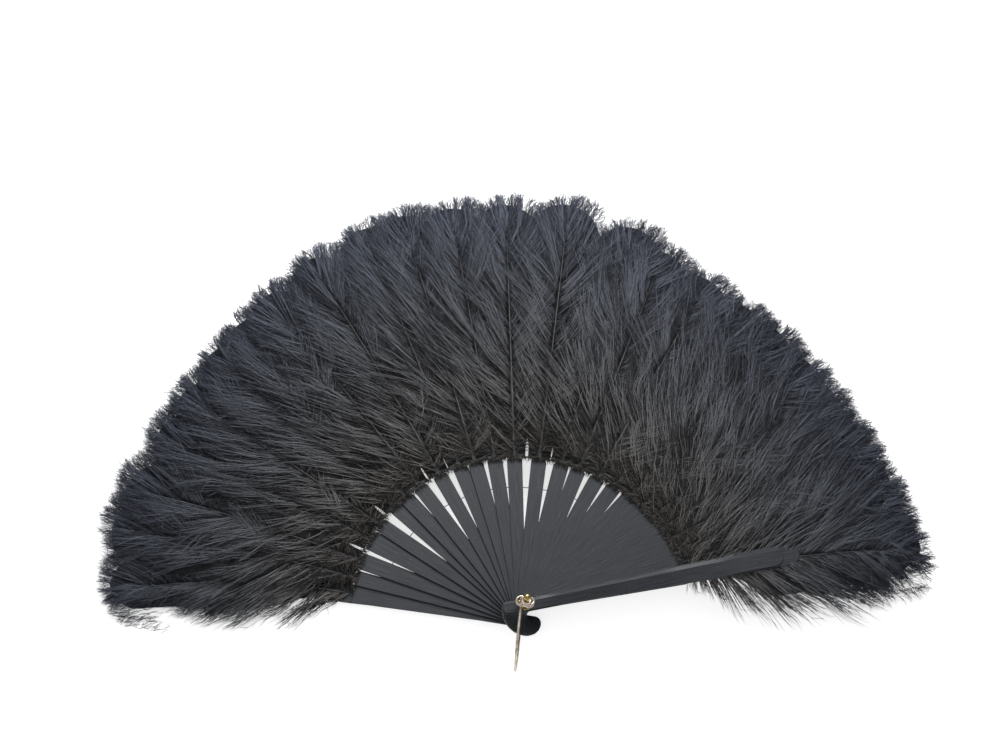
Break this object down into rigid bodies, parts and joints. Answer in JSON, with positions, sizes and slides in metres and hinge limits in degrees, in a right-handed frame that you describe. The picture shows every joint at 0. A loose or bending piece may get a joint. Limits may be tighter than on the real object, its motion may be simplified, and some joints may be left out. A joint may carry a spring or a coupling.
{
  "type": "feather fan",
  "caption": "Folding hand fan of black plumes on dark wooden sticks and guards that turn on one rivet, held by a spacing thread, with a wire bail to hang it by.",
  "frame": {"origin": "on the rivet's axis, at the flat face of the rivet's rear head, which is the lowest face", "axes": "+Z along the rivet towards the front guard and ball head, +X across the open fan towards the front guard, +Y up the fan's middle towards the plume tips"},
  "size_m": [0.6251, 0.4035, 0.0571],
  "materials": {
    "ebonised_wood": "satin black stain",
    "black_feather": "dyed soft plume",
    "old_brass": "tarnished",
    "bail_wire": "dull worn plating",
    "black_thread": "twisted thread"
  },
  "bodies": {
    "rear_guard": {"rear_guard": "ebonised_wood", "rear_plume": "black_feather", "pivot_rivet": "old_brass", "rear_washer": "old_brass", "front_washer": "old_brass", "ball_head": "old_brass", "spacing_thread": "black_thread"},
    "stick_01": {"stick_01": "ebonised_wood", "plume_01": "black_feather"},
    "stick_02": {"stick_02": "ebonised_wood", "plume_02": "black_feather"},
    "stick_03": {"stick_03": "ebonised_wood", "plume_03": "black_feather"},
    "stick_04": {"stick_04": "ebonised_wood", "plume_04": "black_feather"},
    "stick_05": {"stick_05": "ebonised_wood", "plume_05": "black_feather"},
    "stick_06": {"stick_06": "ebonised_wood", "plume_06": "black_feather"},
    "stick_07": {"stick_07": "ebonised_wood", "plume_07": "black_feather"},
    "stick_08": {"stick_08": "ebonised_wood", "plume_08": "black_feather"},
    "stick_09": {"stick_09": "ebonised_wood", "plume_09": "black_feather"},
    "stick_10": {"stick_10": "ebonised_wood", "plume_10": "black_feather"},
    "stick_11": {"stick_11": "ebonised_wood", "plume_11": "black_feather"},
    "stick_12": {"stick_12": "ebonised_wood", "plume_12": "black_feather"},
    "stick_13": {"stick_13": "ebonised_wood", "plume_13": "black_feather"},
    "stick_14": {"stick_14": "ebonised_wood", "plume_14": "black_feather"},
    "stick_15": {"stick_15": "ebonised_wood", "plume_15": "black_feather"},
    "stick_16": {"stick_16": "ebonised_wood", "plume_16": "black_feather"},
    "stick_17": {"stick_17": "ebonised_wood", "plume_17": "black_feather"},
    "stick_18": {"stick_18": "ebonised_wood", "plume_18": "black_feather"},
    "stick_19": {"stick_19": "ebonised_wood", "plume_19": "black_feather"},
    "stick_20": {"stick_20": "ebonised_wood", "plume_20": "black_feather"},
    "stick_21": {"stick_21": "ebonised_wood", "plume_21": "black_feather"},
    "stick_22": {"stick_22": "ebonised_wood", "plume_22": "black_feather"},
    "stick_23": {"stick_23": "ebonised_wood", "plume_23": "black_feather"},
    "stick_24": {"stick_24": "ebonised_wood", "plume_24": "black_feather"},
    "front_guard": {"front_guard": "ebonised_wood", "front_plume": "black_feather"},
    "bail": {"bail": "bail_wire"}
  },
  "joints": [
    {"name": "fold", "type": "hinge", "parent": "rear_guard", "child": "front_guard", "pos_m": [0, 0, 0], "axis": [0, 0, 1], "range_deg": [0, 158.8], "deforming": ["spacing_thread"]},
    {"name": "fold_01", "type": "hinge", "parent": "rear_guard", "child": "stick_01", "pos_m": [0, 0, 0], "axis": [0, 0, 1], "range_deg": [0, 5.6], "deforming": ["spacing_thread"]},
    {"name": "fold_02", "type": "hinge", "parent": "rear_guard", "child": "stick_02", "pos_m": [0, 0, 0], "axis": [0, 0, 1], "range_deg": [0, 11.9], "deforming": ["spacing_thread"]},
    {"name": "fold_03", "type": "hinge", "parent": "rear_guard", "child": "stick_03", "pos_m": [0, 0, 0], "axis": [0, 0, 1], "range_deg": [0, 20.2], "deforming": ["spacing_thread"]},
    {"name": "fold_04", "type": "hinge", "parent": "rear_guard", "child": "stick_04", "pos_m": [0, 0, 0], "axis": [0, 0, 1], "range_deg": [0, 26.7], "deforming": ["spacing_thread"]},
    {"name": "fold_05", "type": "hinge", "parent": "rear_guard", "child": "stick_05", "pos_m": [0, 0, 0], "axis": [0, 0, 1], "range_deg": [0, 35], "deforming": ["spacing_thread"]},
    {"name": "fold_06", "type": "hinge", "parent": "rear_guard", "child": "stick_06", "pos_m": [0, 0, 0], "axis": [0, 0, 1], "range_deg": [0, 40.1], "deforming": ["spacing_thread"]},
    {"name": "fold_07", "type": "hinge", "parent": "rear_guard", "child": "stick_07", "pos_m": [0, 0, 0], "axis": [0, 0, 1], "range_deg": [0, 46.3], "deforming": ["spacing_thread"]},
    {"name": "fold_08", "type": "hinge", "parent": "rear_guard", "child": "stick_08", "pos_m": [0, 0, 0], "axis": [0, 0, 1], "range_deg": [0, 54.4], "deforming": ["spacing_thread"]},
    {"name": "fold_09", "type": "hinge", "parent": "rear_guard", "child": "stick_09", "pos_m": [0, 0, 0], "axis": [0, 0, 1], "range_deg": [0, 62.1], "deforming": ["spacing_thread"]},
    {"name": "fold_10", "type": "hinge", "parent": "rear_guard", "child": "stick_10", "pos_m": [0, 0, 0], "axis": [0, 0, 1], "range_deg": [0, 67.6], "deforming": ["spacing_thread"]},
    {"name": "fold_11", "type": "hinge", "parent": "rear_guard", "child": "stick_11", "pos_m": [0, 0, 0], "axis": [0, 0, 1], "range_deg": [0, 74.4], "deforming": ["spacing_thread"]},
    {"name": "fold_12", "type": "hinge", "parent": "rear_guard", "child": "stick_12", "pos_m": [0, 0, 0], "axis": [0, 0, 1], "range_deg": [0, 81.3], "deforming": ["spacing_thread"]},
    {"name": "fold_13", "type": "hinge", "parent": "rear_guard", "child": "stick_13", "pos_m": [0, 0, 0], "axis": [0, 0, 1], "range_deg": [0, 89.8], "deforming": ["spacing_thread"]},
    {"name": "fold_14", "type": "hinge", "parent": "rear_guard", "child": "stick_14", "pos_m": [0, 0, 0], "axis": [0, 0, 1], "range_deg": [0, 97.7], "deforming": ["spacing_thread"]},
    {"name": "fold_15", "type": "hinge", "parent": "rear_guard", "child": "stick_15", "pos_m": [0, 0, 0], "axis": [0, 0, 1], "range_deg": [0, 103.8], "deforming": ["spacing_thread"]},
    {"name": "fold_16", "type": "hinge", "parent": "rear_guard", "child": "stick_16", "pos_m": [0, 0, 0], "axis": [0, 0, 1], "range_deg": [0, 111], "deforming": ["spacing_thread"]},
    {"name": "fold_17", "type": "hinge", "parent": "rear_guard", "child": "stick_17", "pos_m": [0, 0, 0], "axis": [0, 0, 1], "range_deg": [0, 117.6], "deforming": ["spacing_thread"]},
    {"name": "fold_18", "type": "hinge", "parent": "rear_guard", "child": "stick_18", "pos_m": [0, 0, 0], "axis": [0, 0, 1], "range_deg": [0, 123.9], "deforming": ["spacing_thread"]},
    {"name": "fold_19", "type": "hinge", "parent": "rear_guard", "child": "stick_19", "pos_m": [0, 0, 0], "axis": [0, 0, 1], "range_deg": [0, 129.2], "deforming": ["spacing_thread"]},
    {"name": "fold_20", "type": "hinge", "parent": "rear_guard", "child": "stick_20", "pos_m": [0, 0, 0], "axis": [0, 0, 1], "range_deg": [0, 134.4], "deforming": ["spacing_thread"]},
    {"name": "fold_21", "type": "hinge", "parent": "rear_guard", "child": "stick_21", "pos_m": [0, 0, 0], "axis": [0, 0, 1], "range_deg": [0, 139.5], "deforming": ["spacing_thread"]},
    {"name": "fold_22", "type": "hinge", "parent": "rear_guard", "child": "stick_22", "pos_m": [0, 0, 0], "axis": [0, 0, 1], "range_deg": [0, 144.4], "deforming": ["spacing_thread"]},
    {"name": "fold_23", "type": "hinge", "parent": "rear_guard", "child": "stick_23", "pos_m": [0, 0, 0], "axis": [0, 0, 1], "range_deg": [0, 149.1], "deforming": ["spacing_thread"]},
    {"name": "fold_24", "type": "hinge", "parent": "rear_guard", "child": "stick_24", "pos_m": [0, 0, 0], "axis": [0, 0, 1], "range_deg": [0, 153.7], "deforming": ["spacing_thread"]},
    {"name": "bail_swing", "type": "hinge", "parent": "rear_guard", "child": "bail", "pos_m": [0, 0, 0], "axis": [0, 0, 1], "range_deg": [-60, 85]}
  ],
  "couplings": [
    {"joint": "fold_01", "follows": "fold", "ratio": 0.035264},
    {"joint": "fold_02", "follows": "fold", "ratio": 0.074937},
    {"joint": "fold_03", "follows": "fold", "ratio": 0.1272},
    {"joint": "fold_04", "follows": "fold", "ratio": 0.16814},
    {"joint": "fold_05", "follows": "fold", "ratio": 0.2204},
    {"joint": "fold_06", "follows": "fold", "ratio": 0.25252},
    {"joint": "fold_07", "follows": "fold", "ratio": 0.29156},
    {"joint": "fold_08", "follows": "fold", "ratio": 0.34257},
    {"joint": "fold_09", "follows": "fold", "ratio": 0.39106},
    {"joint": "fold_10", "follows": "fold", "ratio": 0.42569},
    {"joint": "fold_11", "follows": "fold", "ratio": 0.46851},
    {"joint": "fold_12", "follows": "fold", "ratio": 0.51196},
    {"joint": "fold_13", "follows": "fold", "ratio": 0.56549},
    {"joint": "fold_14", "follows": "fold", "ratio": 0.61524},
    {"joint": "fold_15", "follows": "fold", "ratio": 0.65365},
    {"joint": "fold_16", "follows": "fold", "ratio": 0.69899},
    {"joint": "fold_17", "follows": "fold", "ratio": 0.74055},
    {"joint": "fold_18", "follows": "fold", "ratio": 0.78023},
    {"joint": "fold_19", "follows": "fold", "ratio": 0.8136},
    {"joint": "fold_20", "follows": "fold", "ratio": 0.84635},
    {"joint": "fold_21", "follows": "fold", "ratio": 0.87846},
    {"joint": "fold_22", "follows": "fold", "ratio": 0.90932},
    {"joint": "fold_23", "follows": "fold", "ratio": 0.93892},
    {"joint": "fold_24", "follows": "fold", "ratio": 0.96788}
  ]
}
